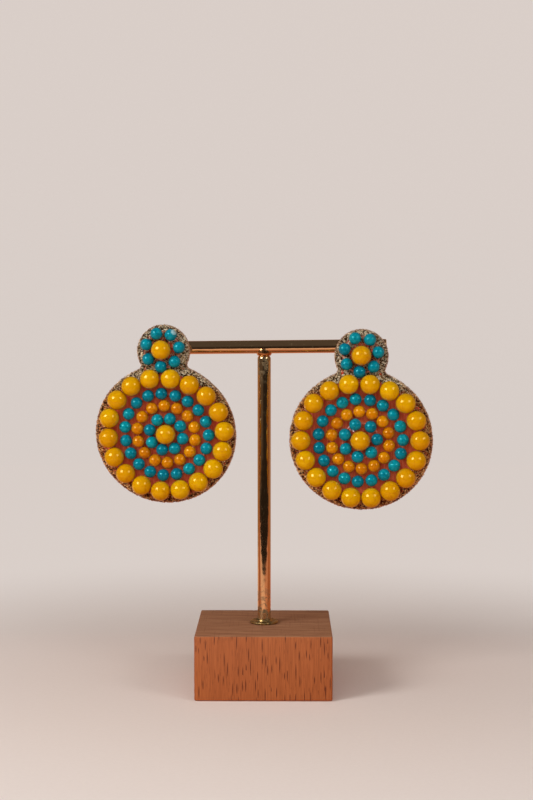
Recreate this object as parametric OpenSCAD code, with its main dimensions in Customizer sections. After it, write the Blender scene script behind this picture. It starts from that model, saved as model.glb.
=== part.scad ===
// Pair of bead-embroidered stud earrings on a brass T-bar stand with a beech foot.
// X runs to the viewer's right, Y away from the viewer and Z up.
// The origin is the middle of the block's underside.

/* [Stand] */
// Width and depth of the square wooden block
block_w = 54.7; // [50:0.1:70]
// Height of the wooden block
block_h = 25.7; // [22:0.1:35]
// Size of the small bevel along the block's edges
block_easing = 0.5; // [0.2:0.1:1.5]
// Diameter of the brass rod of the post and the cross-bar
rod_d = 5.4; // [5:0.1:6]
// Height of the cross-bar's axis above the table
bar_height = 139.3; // [130:0.1:160]
// Length of the cross-bar
bar_len = 99.4; // [94:0.2:120]
// Turn of the cross-bar about the post, right end towards the viewer
bar_twist = 5.8; // [0:0.1:8]
// Lean of the cross-bar, right end up
bar_tilt = 0.7; // [0:0.1:1.5]
// Depth of the post in the block
tenon_depth = 18; // [12:0.5:20]
// Diameter of the collar at the foot of the post
flange_d = 11.6; // [10:0.1:16]
// Height of the collar's rounded rim
flange_h = 1.1; // [0.8:0.1:2]

/* [Earrings] */
// Distance between the two ear pins along the bar
pin_spacing = 80.5; // [78:0.5:90]
// Diameter of the large disc over its stitched edge
big_disc_d = 57.1; // [57:0.1:60]
// Diameter of the small disc over its stitched edge
small_disc_d = 21.7; // [21.7:0.1:24]
// Distance between the middles of the two discs
disc_spacing = 33.7; // [33:0.1:35]
// Radius of the inner corner where the two discs join
neck_fillet = 1.8; // [1.2:0.1:3]
// Thickness of the felt and cloth body
felt_t = 2; // [1.5:0.1:3]
// Width of the stitched edge on the face
edge_w = 1.9; // [1.6:0.1:1.9]
// Thickness of the stitches that wrap the edge
edge_t = 0.3; // [0.2:0.05:0.3]
// Diameter of the pad that is glued behind the small disc
pad_d = 8; // [6:0.5:10]
// Thickness of the pad
pad_t = 0.5; // [0.5:0.1:1]
// Diameter of the ear pin
pin_d = 0.9; // [0.8:0.05:1]
// Length of the ear pin behind the pad
pin_len = 10; // [9:0.5:12]

/* [Beads] */
// Diameter of a big yellow bead
big_bead_d = 8; // [7.6:0.1:8]
// Diameter of a small bead
small_bead_d = 5; // [4.6:0.1:5]
// Thread hole of a big bead
big_hole_d = 1; // [0.9:0.1:1.4]
// Thread hole of a small bead
small_hole_d = 0.8; // [0.8:0.1:1]
// Thickness of the bead thread
thread_t = 0.4; // [0.3:0.05:0.4]

/* [Hidden] */
$fn = 64;
// Gap between pieces that lie against each other
fit_gap = 0.05;
// Height of a bead's lowest point above the cloth
bead_lift = 0.1;
// Extra length of a cutting tool past the face that it cuts
cut_over = 1;
// How far the round inner corners run into the discs, so that their edges cross cleanly
corner_over = 0.02;

rod_r = rod_d / 2;
block_bore_d = rod_d + 2 * fit_gap;
tenon_end_z = block_h - tenon_depth;
// The post ends in a rounded shoulder under the bar, and a solder collar fills the joint
shoulder_r = 1.2;
post_top = bar_height - rod_r - 0.8;
collar_r = rod_r + 0.45;
rod_bevel = 0.3;
pin_hole_d = pin_d + 0.3;
// Distance from the bar's axis to the back of the cloth
back_offset = rod_r + pad_t + 2 * fit_gap;
big_disc_r = big_disc_d / 2;
small_disc_r = small_disc_d / 2;

// One row for each earring
// Columns: side, which way it lies along the bar, place of the pin [x, up] from the small disc's middle,
// lean with the top to the left, shift of the bead pattern [x, up] on the large disc
SIDE = 0;
SIGN = 1;
PIN = 2;
LEAN = 3;
SHIFT = 4;
EARRINGS = [
    ["left",  -1, [0.5, 1.3],  0.6, [0.7, 0.0]],
    ["right",  1, [0.3, 4.0], -1.0, [0.0, 0.0]],
];

// One row for each ring of beads, sewn by hand and so a little out of round
// Columns: name, bead count, mean radius, angle of the first bead, step between beads,
// oval (amount and axis), three-sided wave (amount and axis)
COUNT = 1;
RADIUS = 2;
FIRST = 3;
STEP = 4;
OVAL = 5;
OVAL_AXIS = 6;
WAVE = 7;
WAVE_AXIS = 8;
RINGS = [
    ["left_rim",         18, 23.45, 82.7, 19.95, 0.70, -24, 0.30,  8],
    ["left_teal_outer",  19, 16.90, 74.3, 18.90, 0.50, -26, 0.30,  6],
    ["left_orange",      14, 11.80, 65.4, 25.70, 0.30, -22, 0.10,  2],
    ["left_teal_inner",   8,  6.75, 74.4, 45.00, 0.25, -14, 0.05, -6],
    ["left_top",          7,  6.95, 58.4, 51.60, 0.00,   0, 0.00,  0],
    ["right_rim",        18, 23.45, 80.6, 19.95, 0.45, -12, 0.20, 32],
    ["right_teal_outer", 19, 16.80, 77.0, 18.90, 0.20, -10, 0.05, 16],
    ["right_orange",     14, 11.65, 67.0, 25.70, 0.10,   7, 0.05, 72],
    ["right_teal_inner",  7,  6.70, 54.0, 50.80, 0.15,  44, 0.00,  0],
    ["right_top",         7,  6.95, 59.6, 51.50, 0.00,   0, 0.00,  0],
];

// One row for each thing that is sewn on at a spot of its own, measured from the middle of its disc
// Columns: name, place [x, up]
SPOTS = [
    ["left_top_ring",  [ 0.0,  0.7]],
    ["left_top",       [-0.3,  0.6]],
    ["left_centre",    [ 0.7,  0.0]],
    ["right_top_ring", [ 0.0,  0.7]],
    ["right_top",      [ 0.2,  0.4]],
    ["right_centre",   [ 0.0, -0.1]],
];

SIDES = [for (row = EARRINGS) row[SIDE]];
RIM_COUNT = ring_row("left", "rim")[COUNT];

function table_row(table, name) = table[search([name], table)[0]];
function earring_row(side) = table_row(EARRINGS, side);
function ring_row(side, ring) = table_row(RINGS, str(side, "_", ring));
function spot(side, name) = table_row(SPOTS, str(side, "_", name))[1];
function rim_bead_name(side, k) = str(side, "_rim_bead_", k < 9 ? "0" : "", k + 1);

// Middle of the large disc, from the small disc's middle
function big_middle() = [0, -disc_spacing];
// Middle of a ring of beads, from the small disc's middle
function ring_middle(side, ring) =
    ring == "top" ? spot(side, "top_ring") : big_middle() + earring_row(side)[SHIFT];

// The waves are followed at an even pace, so the beads keep their spacing
function bead_angle(row, k) =
    let (turn = row[FIRST] - k * row[STEP])
    turn - 90 / PI * row[OVAL] / row[RADIUS] * sin(2 * (turn - row[OVAL_AXIS]))
         - 60 / PI * row[WAVE] / row[RADIUS] * sin(3 * (turn - row[WAVE_AXIS]));
function ring_radius(row, angle) =
    row[RADIUS] + row[OVAL] * cos(2 * (angle - row[OVAL_AXIS]))
                + row[WAVE] * cos(3 * (angle - row[WAVE_AXIS]));
// Place of a bead from the ring's middle
function bead_at(row, k) =
    let (angle = bead_angle(row, (k + row[COUNT]) % row[COUNT]))
    ring_radius(row, angle) * [cos(angle), sin(angle)];
// Direction of the thread through a bead, along its two neighbours
function bead_heading(row, k) =
    let (span = bead_at(row, k + 1) - bead_at(row, k - 1))
    span / norm(span);
// Where the thread bends between a bead and the next one
function thread_bend(row, k) =
    let (here = bead_at(row, k), next = bead_at(row, k + 1),
         out = bead_heading(row, k), in = bead_heading(row, k + 1))
    here + out * cross(next - here, in) / cross(out, in);

// Middle of the round inner corner between the discs, on the right
function neck_point() =
    let (a = small_disc_r + neck_fillet, b = big_disc_r + neck_fillet,
         up = -(a * a + disc_spacing * disc_spacing - b * b) / (2 * disc_spacing))
    [sqrt(a * a - up * up), up];

// Puts the bar's own frame, with X along the bar, on top of the post
module on_bar() {
    translate([0, 0, bar_height])
        rotate([0, 0, -bar_twist])
            rotate([0, -bar_tilt, 0])
                children();
}

// Puts an earring in its place: origin at the small disc's middle on the back of the cloth,
// X to the right, Y up and Z towards the viewer
module on_earring(side) {
    row = earring_row(side);
    on_bar()
        translate([row[SIGN] * pin_spacing / 2, -back_offset, 0])
            rotate([90, 0, 0])
                rotate([0, 0, row[LEAN]])
                    translate([-row[PIN].x, -row[PIN].y, 0])
                        children();
}

// Flat slab in the shape of the two joined discs, drawn in by an inset
module disc_slab(thickness, inset) {
    corner = neck_point();
    cylinder(r = small_disc_r - inset, h = thickness, center = true);
    translate(big_middle())
        cylinder(r = big_disc_r - inset, h = thickness, center = true);
    linear_extrude(height = thickness, center = true)
        difference() {
            polygon([[0, 0], corner, big_middle(), [-corner.x, corner.y]]);
            for (side = [-1, 1])
                translate([side * corner.x, corner.y])
                    circle(r = neck_fillet + inset + corner_over);
        }
}

// Round rod along Z with bevelled ends
module bevelled_rod(d, length, bevel) {
    r = d / 2;
    rotate_extrude()
        polygon([[0, 0], [r - bevel, 0], [r, bevel], [r, length - bevel], [r - bevel, length],
                 [0, length]]);
}

// Square with bevelled corners
module bevelled_rectangle(w, h, bevel) {
    x = w / 2;
    y = h / 2;
    polygon([[bevel - x, -y], [x - bevel, -y], [x, bevel - y], [x, y - bevel],
             [x - bevel, y], [bevel - x, y], [-x, y - bevel], [-x, bevel - y]]);
}

// Round bead with its thread hole along X, turned from half a disc
module drilled_bead(d, hole_d) {
    rotate([0, 90, 0])
        rotate_extrude()
            difference() {
                circle(d = d);
                translate([-d, -d])
                    square([d + hole_d / 2, 2 * d]);
            }
}

// Puts a bead's middle at a place on the cloth, with its hole along a heading
module sewn_at(place, d, heading = [1, 0]) {
    translate([place.x, place.y, felt_t + bead_lift + d / 2])
        rotate([0, 0, atan2(heading.y, heading.x)])
            children();
}

// One bead of a ring, by its number
module ring_bead(side, ring, k, d, hole_d) {
    row = ring_row(side, ring);
    sewn_at(ring_middle(side, ring) + bead_at(row, k), d, bead_heading(row, k))
        drilled_bead(d, hole_d);
}

// Thread through a ring of beads, square in section
module ring_thread(side, ring, d) {
    row = ring_row(side, ring);
    half = thread_t / 2 / cos(row[STEP] / 2);
    bends = [for (k = [0 : row[COUNT] - 1]) thread_bend(row, k)];
    sewn_at(ring_middle(side, ring), d)
        linear_extrude(height = thread_t, center = true)
            difference() {
                polygon([for (p = bends) p * (1 + half / norm(p))]);
                polygon([for (p = bends) p * (1 - half / norm(p))]);
            }
}

// Thread through a bead that is sewn on by itself
module single_thread(place) {
    sewn_at(place, big_bead_d)
        rotate([0, 90, 0])
            cylinder(d = thread_t, h = big_bead_d - thread_t, center = true);
}

module wood_block() {
    color("peru")
        translate([0, 0, block_h / 2])
            difference() {
                intersection() {
                    linear_extrude(height = block_h, center = true)
                        bevelled_rectangle(block_w, block_w, block_easing);
                    rotate([90, 0, 0])
                        linear_extrude(height = block_w, center = true)
                            bevelled_rectangle(block_w, block_h, block_easing);
                    rotate([90, 0, 90])
                        linear_extrude(height = block_w, center = true)
                            bevelled_rectangle(block_w, block_h, block_easing);
                }
                translate([0, 0, block_h / 2 - tenon_depth - fit_gap])
                    cylinder(d = block_bore_d, h = tenon_depth + fit_gap + cut_over);
            }
}

module foot_flange() {
    rim_r = flange_h / 2;
    collar_top = flange_h + 0.8;
    collar_side = block_bore_d / 2 + 0.7;
    color("goldenrod")
        translate([0, 0, block_h + fit_gap])
            rotate_extrude() {
                translate([flange_d / 2 - rim_r, rim_r])
                    circle(r = rim_r);
                polygon([[block_bore_d / 2, 0], [flange_d / 2 - rim_r, 0],
                         [flange_d / 2 - rim_r, flange_h], [collar_side + 0.5, flange_h * 0.8],
                         [collar_side, flange_h], [block_bore_d / 2 + 0.2, collar_top],
                         [block_bore_d / 2, collar_top]]);
            }
}

module t_bar() {
    post_len = post_top - tenon_end_z;
    collar_low = -rod_r - 0.9;
    color("goldenrod") {
        translate([0, 0, tenon_end_z])
            rotate_extrude() {
                polygon([[0, 0], [rod_r - rod_bevel, 0], [rod_r, rod_bevel],
                         [rod_r, post_len - shoulder_r], [0, post_len - shoulder_r]]);
                square([rod_r - shoulder_r, post_len]);
                translate([rod_r - shoulder_r, post_len - shoulder_r])
                    intersection() {
                        circle(r = shoulder_r);
                        square(shoulder_r);
                    }
            }
        translate([0, 0, bar_height])
            rotate_extrude()
                polygon([[0, collar_low], [rod_r - 0.3, collar_low], [collar_r - 0.1, collar_low + 0.8],
                         [collar_r, collar_low + 1.9], [collar_r - 0.25, -0.3], [0, -0.3]]);
        on_bar()
            difference() {
                rotate([0, 90, 0])
                    translate([0, 0, -bar_len / 2])
                        bevelled_rod(rod_d, bar_len, rod_bevel);
                for (side = [-1, 1])
                    translate([side * pin_spacing / 2, 0, 0])
                        rotate([90, 0, 0])
                            cylinder(d = pin_hole_d, h = rod_d + cut_over, center = true);
            }
    }
}

module base(side) {
    color("firebrick")
        on_earring(side)
            translate([0, 0, felt_t / 2])
                disc_slab(felt_t, edge_t + fit_gap);
}

module edge_stitching(side) {
    color("tan")
        on_earring(side)
            translate([0, 0, felt_t / 2])
                difference() {
                    disc_slab(felt_t + 2 * edge_t + 2 * fit_gap, 0);
                    disc_slab(felt_t + 2 * fit_gap, edge_t);
                    disc_slab(felt_t + 2 * edge_t + cut_over, edge_w);
                }
}

module rim_bead(side, k) {
    color("gold")
        on_earring(side)
            ring_bead(side, "rim", k, big_bead_d, big_hole_d);
}

module centre_bead(side) {
    color("gold")
        on_earring(side)
            sewn_at(big_middle() + spot(side, "centre"), big_bead_d)
                drilled_bead(big_bead_d, big_hole_d);
}

module top_bead(side) {
    color("gold")
        on_earring(side)
            sewn_at(spot(side, "top"), big_bead_d)
                drilled_bead(big_bead_d, big_hole_d);
}

module small_bead_ring(side, ring) {
    on_earring(side)
        for (k = [0 : ring_row(side, ring)[COUNT] - 1])
            ring_bead(side, ring, k, small_bead_d, small_hole_d);
}

module teal_outer(side) {
    color("teal")
        small_bead_ring(side, "teal_outer");
}

module orange_ring(side) {
    color("orange")
        small_bead_ring(side, "orange");
}

module teal_inner(side) {
    color("teal")
        small_bead_ring(side, "teal_inner");
}

module top_teal(side) {
    color("teal")
        small_bead_ring(side, "top");
}

module bead_thread(side) {
    color("ivory")
        on_earring(side) {
            ring_thread(side, "rim", big_bead_d);
            for (ring = ["teal_outer", "orange", "teal_inner", "top"])
                ring_thread(side, ring, small_bead_d);
            single_thread(big_middle() + spot(side, "centre"));
            single_thread(spot(side, "top"));
        }
}

module ear_post(side) {
    pin = earring_row(side)[PIN];
    pin_r = pin_d / 2;
    pin_bevel = 0.2;
    color("silver")
        on_earring(side)
            translate([pin.x, pin.y, -fit_gap])
                rotate([180, 0, 0])
                    rotate_extrude()
                        polygon([[0, 0], [pad_d / 2, 0], [pad_d / 2, pad_t], [pin_r, pad_t],
                                 [pin_r, pad_t + pin_len - pin_bevel],
                                 [pin_r - pin_bevel, pad_t + pin_len], [0, pad_t + pin_len]]);
}

wood_block();
foot_flange();
t_bar();
for (side = SIDES) {
    base(side);
    edge_stitching(side);
    for (k = [0 : RIM_COUNT - 1])
        rim_bead(side, k);
    centre_bead(side);
    top_bead(side);
    teal_outer(side);
    orange_ring(side);
    teal_inner(side);
    top_teal(side);
    bead_thread(side);
    ear_post(side);
}
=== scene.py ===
"""The dressed model of a pair of bead-embroidered stud earrings on a T-bar stand.

Every CAD node is replaced by a piece with the finer form of the real one: turned brass, a beech
block, drilled glass beads, bead thread, woven cloth and a dense edge of metallic overcast stitches.
Lengths are in millimetres until a mesh is placed, and in metres after that.
"""
import sys
import logging
from collections.abc import Iterable, Sequence
from dataclasses import dataclass, replace
from enum import Enum
from math import atan2, cos, hypot, pi, radians, sin, sqrt
from typing import Any

import bmesh
import bpy
import numpy as np
from bpy.types import Material, Mesh, Object
from mathutils import Matrix, Vector
from mathutils.geometry import delaunay_2d_cdt


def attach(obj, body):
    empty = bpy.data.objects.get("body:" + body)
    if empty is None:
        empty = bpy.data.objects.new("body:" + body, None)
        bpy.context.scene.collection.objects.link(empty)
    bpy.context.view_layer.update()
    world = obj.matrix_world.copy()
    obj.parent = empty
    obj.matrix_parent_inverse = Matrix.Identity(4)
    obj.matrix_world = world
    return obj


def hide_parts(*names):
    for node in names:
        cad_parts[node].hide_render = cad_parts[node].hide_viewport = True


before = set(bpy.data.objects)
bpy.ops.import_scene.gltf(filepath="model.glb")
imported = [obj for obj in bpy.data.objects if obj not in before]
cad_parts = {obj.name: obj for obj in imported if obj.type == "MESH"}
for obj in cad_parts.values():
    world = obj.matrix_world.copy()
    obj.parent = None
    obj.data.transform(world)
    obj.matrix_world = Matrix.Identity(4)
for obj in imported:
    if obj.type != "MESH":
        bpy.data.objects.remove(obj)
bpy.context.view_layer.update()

BODY = "root"
MM = 0.001
TURN, QUARTER = 2 * pi, pi / 2
# Gap between pieces that lie against each other
FIT = 0.05
# Attributes that the meshes carry for the sewing trees and the finishes
HEADING, OUTWARD, LAY = "heading", "outward", "lay"
TONE, ALONG, AROUND = "tone", "along", "around"

Colour = tuple[float, float, float, float]
Profile = Sequence[tuple[float, float]]
BLACK: Colour = (0.0, 0.0, 0.0, 1.0)
log = logging.getLogger("earrings")


def paint(red: int, green: int, blue: int) -> Colour:
    """The linear scene colour of a paint chip whose shares run from 0 to 255."""
    shares = (value / 255 for value in (red, green, blue))
    return (*(s / 12.92 if s <= 0.04045 else ((s + 0.055) / 1.055) ** 2.4 for s in shares), 1.0)


class Side(Enum):
    """The two earrings, as the viewer sees them."""

    LEFT = "left"
    RIGHT = "right"


class Slot(Enum):
    """Material slots of the record."""

    BEECH = "beech"
    BRASS = "brass"
    STEEL = "steel"
    CLOTH = "red_cloth"
    METAL_THREAD = "metallic_thread"
    CLEAR_THREAD = "clear_thread"
    YELLOW = "yellow_bead"
    TEAL = "teal_bead"
    ORANGE = "orange_bead"


# Node trees


class Signal:
    """A socket of a node tree that Python arithmetic works on."""

    def __init__(self, bench: "Bench", socket: bpy.types.NodeSocket) -> None:
        """Keeps the socket and the bench that its tree is built on."""
        self.bench, self.socket = bench, socket

    def __add__(self, other: "Signal | float") -> "Signal":
        """The sum."""
        return self.bench.maths("ADD", self, other)

    def __sub__(self, other: "Signal | float") -> "Signal":
        """The difference."""
        return self.bench.maths("SUBTRACT", self, other)

    def __rsub__(self, other: float) -> "Signal":
        """The difference, with a number on the left."""
        return self.bench.maths("SUBTRACT", other, self)

    def __mul__(self, other: "Signal | float") -> "Signal":
        """The product."""
        return self.bench.maths("MULTIPLY", self, other)

    def __rtruediv__(self, other: float) -> "Signal":
        """The quotient, with a number on the left."""
        return self.bench.maths("DIVIDE", other, self)

    def __abs__(self) -> "Signal":
        """The value without its sign."""
        return self.bench.maths("ABSOLUTE", self)

    __radd__, __rmul__ = __add__, __mul__

    def wave(self) -> "Signal":
        """A sine of the value, between 0 and 1."""
        return self.bench.maths("SINE", self) * 0.5 + 0.5


class Bench:
    """A node tree under construction, for a material, the world or Geometry Nodes."""

    def __init__(self, tree: bpy.types.NodeTree) -> None:
        """Starts work on a tree."""
        self.tree = tree

    def add(self, kind: str, settings: dict[str, Any], *terms: Any,
            **sockets: Any) -> bpy.types.Node:
        """Adds a node.

        Args:
            kind: Blender's type of the node.
            settings: Properties of the node, set first. "stops" fills a colour ramp.
            *terms: A value or a signal for each input in use, in their order.
            **sockets: A value or a signal for single inputs, with underscores for spaces.

        Returns:
            The node.
        """
        node = self.tree.nodes.new(kind)
        for name, value in settings.items():
            if name == "stops":
                elements = node.color_ramp.elements
                while len(elements) < len(value):
                    elements.new(0.5)
                for element, (place, colour) in zip(elements, value):
                    element.position, element.color = place, colour
            else:
                setattr(node, name, value)
        for socket, value in zip([s for s in node.inputs if s.enabled], terms):
            self.feed(socket, value)
        for name, value in sockets.items():
            self.feed(node.inputs[name.replace("_", " ")], value)
        return node

    def feed(self, socket: bpy.types.NodeSocket, value: Any) -> None:
        """Links a signal to an input, or sets its value."""
        if isinstance(value, Signal):
            self.tree.links.new(value.socket, socket)
        else:
            socket.default_value = value

    def signal(self, kind: str, settings: dict[str, Any], *terms: Any, output: str = "",
               **sockets: Any) -> Signal:
        """The named output of a new node, or else the first one in use."""
        outputs = self.add(kind, settings, *terms, **sockets).outputs
        return Signal(self, outputs[output] if output else next(s for s in outputs if s.enabled))

    def maths(self, operation: str, *terms: Signal | float) -> Signal:
        """A Math node's result on the terms, in their order."""
        return self.signal("ShaderNodeMath", {"operation": operation}, *terms)

    def vector_maths(self, operation: str, *terms: Any) -> Signal:
        """A Vector Math node's result on the terms, in their order."""
        return self.signal("ShaderNodeVectorMath", {"operation": operation}, *terms)

    def vector(self, *values: Signal | float) -> Signal:
        """A vector of three values."""
        return self.signal("ShaderNodeCombineXYZ", {}, *values)

    def parts(self, vector: Signal) -> list[Signal]:
        """The three values of a vector."""
        node = self.add("ShaderNodeSeparateXYZ", {}, vector)
        return [Signal(self, output) for output in node.outputs]

    def step(self, value: Signal, low: float, high: float) -> Signal:
        """A soft step from 0 at low to 1 at high, or down to 0 at low where low is the larger."""
        return self.signal("ShaderNodeMapRange", {"interpolation_type": "SMOOTHSTEP"}, value,
                           min(low, high), max(low, high), float(low > high), float(low < high))

    def blend(self, share: Signal | float, first: Any, second: Any) -> Signal:
        """A colour between two colours, at the given share of the second."""
        return self.signal("ShaderNodeMix", {"data_type": "RGBA"}, share, first, second)


class FinishBench(Bench):
    """A material under construction. Its sizes are in millimetres."""

    def __init__(self, name: str) -> None:
        """Starts a material of that name with one Principled shader.

        Args:
            name: Name of the material.
        """
        self.material = bpy.data.materials.new(name)
        self.material.use_nodes = True
        super().__init__(self.material.node_tree)
        self.shader = self.tree.nodes["Principled BSDF"]
        self.place = self.signal("ShaderNodeTexCoord", {}, output="Object")

    def read(self, name: str, output: str = "Fac") -> Signal:
        """A named attribute of the mesh."""
        return self.signal("ShaderNodeAttribute", {"attribute_name": name}, output=output)

    def spot(self) -> list[Signal]:
        """The place on the piece in millimetres: across, into and up."""
        return [part * (1 / MM) for part in self.parts(self.place)]

    def boxed(self, sizes: Sequence[float], place: Signal | None = None) -> Signal:
        """The coordinates, or the piece's own, as shares of a box of the given sizes."""
        unit = 1 if place else MM
        return self.vector_maths("MULTIPLY", place or self.place,
                                 [1 / (size * unit) for size in sizes])

    def noise(self, size: float, detail: float = 2, place: Signal | None = None,
              distortion: float = 0) -> Signal:
        """Cloudy noise from 0 to 1, with patches of that size in the coordinates' units."""
        return self.signal("ShaderNodeTexNoise", {}, Vector=place or self.place, Detail=detail,
                           Scale=1 / (size if place else size * MM), Distortion=distortion)

    def away(self, spot: Vector) -> Signal:
        """Distance from a spot of the part's frame, both in millimetres."""
        return self.vector_maths("DISTANCE", self.place, spot * MM) * (1 / MM)

    def cells(self, place: Signal, output: str = "Distance") -> Signal:
        """Cells of unit size: the distance to a cell's middle, or its random colour."""
        return self.signal("ShaderNodeTexVoronoi", {}, output=output, Vector=place, Scale=1.0)

    def ramp(self, value: Signal, *stops: tuple[float, Colour]) -> Signal:
        """A colour from a ramp of stops."""
        return self.signal("ShaderNodeValToRGB", {"stops": stops}, value)

    def relief(self, height: Signal, depth: float, under: Signal | None = None) -> Signal:
        """Normals of a relief whose height of 1 is that depth, over those of a coarser one."""
        coarser = {"Normal": under} if under else {}
        return self.signal("ShaderNodeBump", {}, Height=height, Distance=depth * MM, Strength=1.0,
                           **coarser)

    def finished(self, **sockets: Any) -> Material:
        """Sets the shader's sockets, named with underscores for spaces, and gives the material."""
        for name, value in sockets.items():
            self.feed(self.shader.inputs[name.replace("_", " ")], value)
        return self.material


class SewingBench(Bench):
    """A Geometry Nodes tree under construction, whose result becomes a plain mesh."""

    KINDS = {"Geometry": "NodeSocketGeometry", "pattern": "NodeSocketObject",
             "finish": "NodeSocketMaterial", "seed": "NodeSocketInt"}

    def __init__(self, name: str, *sizes: str) -> None:
        """Starts a tree of that name, with the usual inputs and the named sizes.

        Args:
            name: Name of the tree.
            *sizes: Names of the inputs that only this tree has.
        """
        super().__init__(bpy.data.node_groups.new(name, "GeometryNodeTree"))
        board = self.tree.interface
        self.inputs = {
            label: board.new_socket(label, in_out="INPUT",
                                    socket_type=self.KINDS.get(label, "NodeSocketFloat"))
            for label in (*self.KINDS, "patch", "unevenness", *sizes)}
        board.new_socket("Geometry", in_out="OUTPUT", socket_type=self.KINDS["Geometry"])
        self.entry = self.tree.nodes.new("NodeGroupInput")
        self.exit = self.tree.nodes.new("NodeGroupOutput")

    def given(self, label: str) -> Signal:
        """One of the tree's inputs."""
        return Signal(self, self.entry.outputs[label])

    def named(self, name: str) -> list[Signal]:
        """The three values of a named vector attribute of the geometry."""
        return self.parts(self.signal("GeometryNodeInputNamedAttribute",
                                      {"data_type": "FLOAT_VECTOR"}, Name=name))

    def chance(self, low: Signal | float, high: Signal | float, draw: int) -> Signal:
        """A random value for each element, in a draw apart from the tree's others."""
        return self.signal("FunctionNodeRandomValue", {"data_type": "FLOAT"}, low, high,
                           Seed=self.given("seed") + draw)

    def turned(self, *angles: Signal | float) -> Signal:
        """A rotation of three angles."""
        return self.signal("FunctionNodeEulerToRotation", {}, self.vector(*angles))

    def curve(self) -> Signal:
        """The edges of the geometry as a curve."""
        return self.signal("GeometryNodeMeshToCurve", {}, self.given("Geometry"))

    def paced(self, curve: Signal) -> Signal:
        """A curve with a point at every step of the tree's pitch."""
        return self.signal("GeometryNodeResampleCurve", {"mode": "LENGTH"}, Curve=curve,
                           Length=self.given("pitch"))

    def copied(self, points: Signal, rotation: Signal, scale: Signal) -> Signal:
        """Sets a copy of the pattern on each point, with a random tone, as real mesh.

        Args:
            points: Points or a curve.
            rotation: Turn of each copy.
            scale: Scale of each copy.

        Returns:
            The mesh.
        """
        pattern = self.signal("GeometryNodeObjectInfo", {}, output="Geometry",
                              Object=self.given("pattern"))
        copies = self.signal("GeometryNodeInstanceOnPoints", {}, Points=points, Instance=pattern,
                             Rotation=rotation, Scale=scale)
        toned = self.signal("GeometryNodeStoreNamedAttribute",
                            {"data_type": "FLOAT", "domain": "INSTANCE"}, Geometry=copies,
                            Name=TONE, Value=self.chance(0.0, 1.0, 7))
        return self.signal("GeometryNodeRealizeInstances", {}, toned)

    def close(self, mesh: Signal) -> "SewingBench":
        """Makes the surface a little uneven along its normals, gives it the finish and ends.

        Args:
            mesh: The sewn mesh.

        Returns:
            The bench, ready to run.
        """
        noise = self.signal("ShaderNodeTexNoise", {}, Scale=1.0 / self.given("patch"), Detail=1.0)
        offset = self.vector_maths("SCALE", self.signal("GeometryNodeInputNormal", {}),
                                   (noise - 0.5) * self.given("unevenness"))
        uneven = self.signal("GeometryNodeSetPosition", {}, Geometry=mesh, Offset=offset)
        smooth = self.signal("GeometryNodeSetShadeSmooth", {}, uneven)
        dressed = self.signal("GeometryNodeSetMaterial", {}, Geometry=smooth,
                              Material=self.given("finish"))
        self.tree.links.new(dressed.socket, self.exit.inputs[0])
        return self

    def run(self, mesh: Mesh, **values: Any) -> Mesh:
        """Runs the tree.

        Args:
            mesh: The mesh that it starts from, which is used up.
            **values: A value for each input.

        Returns:
            The result as a plain mesh.
        """
        host = linked(mesh.name, mesh)
        modifier = host.modifiers.new(self.tree.name, "NODES")
        modifier.node_group = self.tree
        for label, value in values.items():
            modifier[self.inputs[label].identifier] = value
        return flattened(host)


# Meshes


def moved(x: float, y: float, z: float) -> Matrix:
    """A shift."""
    return Matrix.Translation((x, y, z))


def turned(angle: float, axis: str) -> Matrix:
    """A turn about an axis, in radians."""
    return Matrix.Rotation(angle, 4, axis)


def arc(x: float, y: float, radius: float, start: float, end: float,
        count: int) -> list[tuple[float, float]]:
    """Evenly spaced points on an arc round a middle, from one angle to another."""
    return [(x + radius * cos(t), y + radius * sin(t)) for t in np.linspace(start, end, count)]


def linked(name: str, data: bpy.types.ID) -> Object:
    """Puts an object with that data in the scene.

    Args:
        name: Name of the object.
        data: Its mesh, lamp or camera data.

    Returns:
        The object.
    """
    thing = bpy.data.objects.new(name, data)
    bpy.context.scene.collection.objects.link(thing)
    return thing


def flattened(host: Object) -> Mesh:
    """Applies an object's modifiers and removes the object.

    Args:
        host: The object.

    Returns:
        Its shape as a plain mesh.
    """
    graph = bpy.context.evaluated_depsgraph_get()
    mesh = bpy.data.meshes.new_from_object(host.evaluated_get(graph),
                                           preserve_all_data_layers=True, depsgraph=graph)
    bpy.data.objects.remove(host)
    return mesh


def creased(mesh: Mesh, angle: float) -> Mesh:
    """Shades a mesh smooth, but for the edges that bend by more than an angle in degrees.

    Args:
        mesh: The mesh.
        angle: Largest bend that is still smooth.

    Returns:
        The same mesh.
    """
    mesh.shade_smooth()
    mesh.set_sharp_from_angle(angle=radians(angle))
    return mesh


def built(name: str, points: Iterable[Sequence[float]], faces: Iterable[Sequence[int]] = (),
          edges: Iterable[Sequence[int]] = (), crease: float = 40) -> Mesh:
    """Makes a mesh of points and faces.

    Args:
        name: Name of the mesh.
        points: Places of its points.
        faces: Corners of each face.
        edges: Ends of each loose edge.
        crease: Edges that bend by more than this angle in degrees look sharp.

    Returns:
        The mesh.
    """
    mesh = bpy.data.meshes.new(name)
    mesh.from_pydata([tuple(p) for p in points], list(edges), list(faces))
    return creased(mesh, crease) if faces else mesh


def noted(mesh: Mesh, name: str, values: Sequence) -> Mesh:
    """Stores a number or a vector for each point of a mesh as a named attribute.

    Args:
        mesh: The mesh.
        name: Name of the attribute.
        values: A number or a vector for each point.

    Returns:
        The same mesh.
    """
    values = np.asarray(values, np.float32)
    kind, field_name = ("FLOAT", "value") if values.ndim == 1 else ("FLOAT_VECTOR", "vector")
    mesh.attributes.new(name, kind, "POINT").data.foreach_set(field_name, values.ravel())
    return mesh


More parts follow.
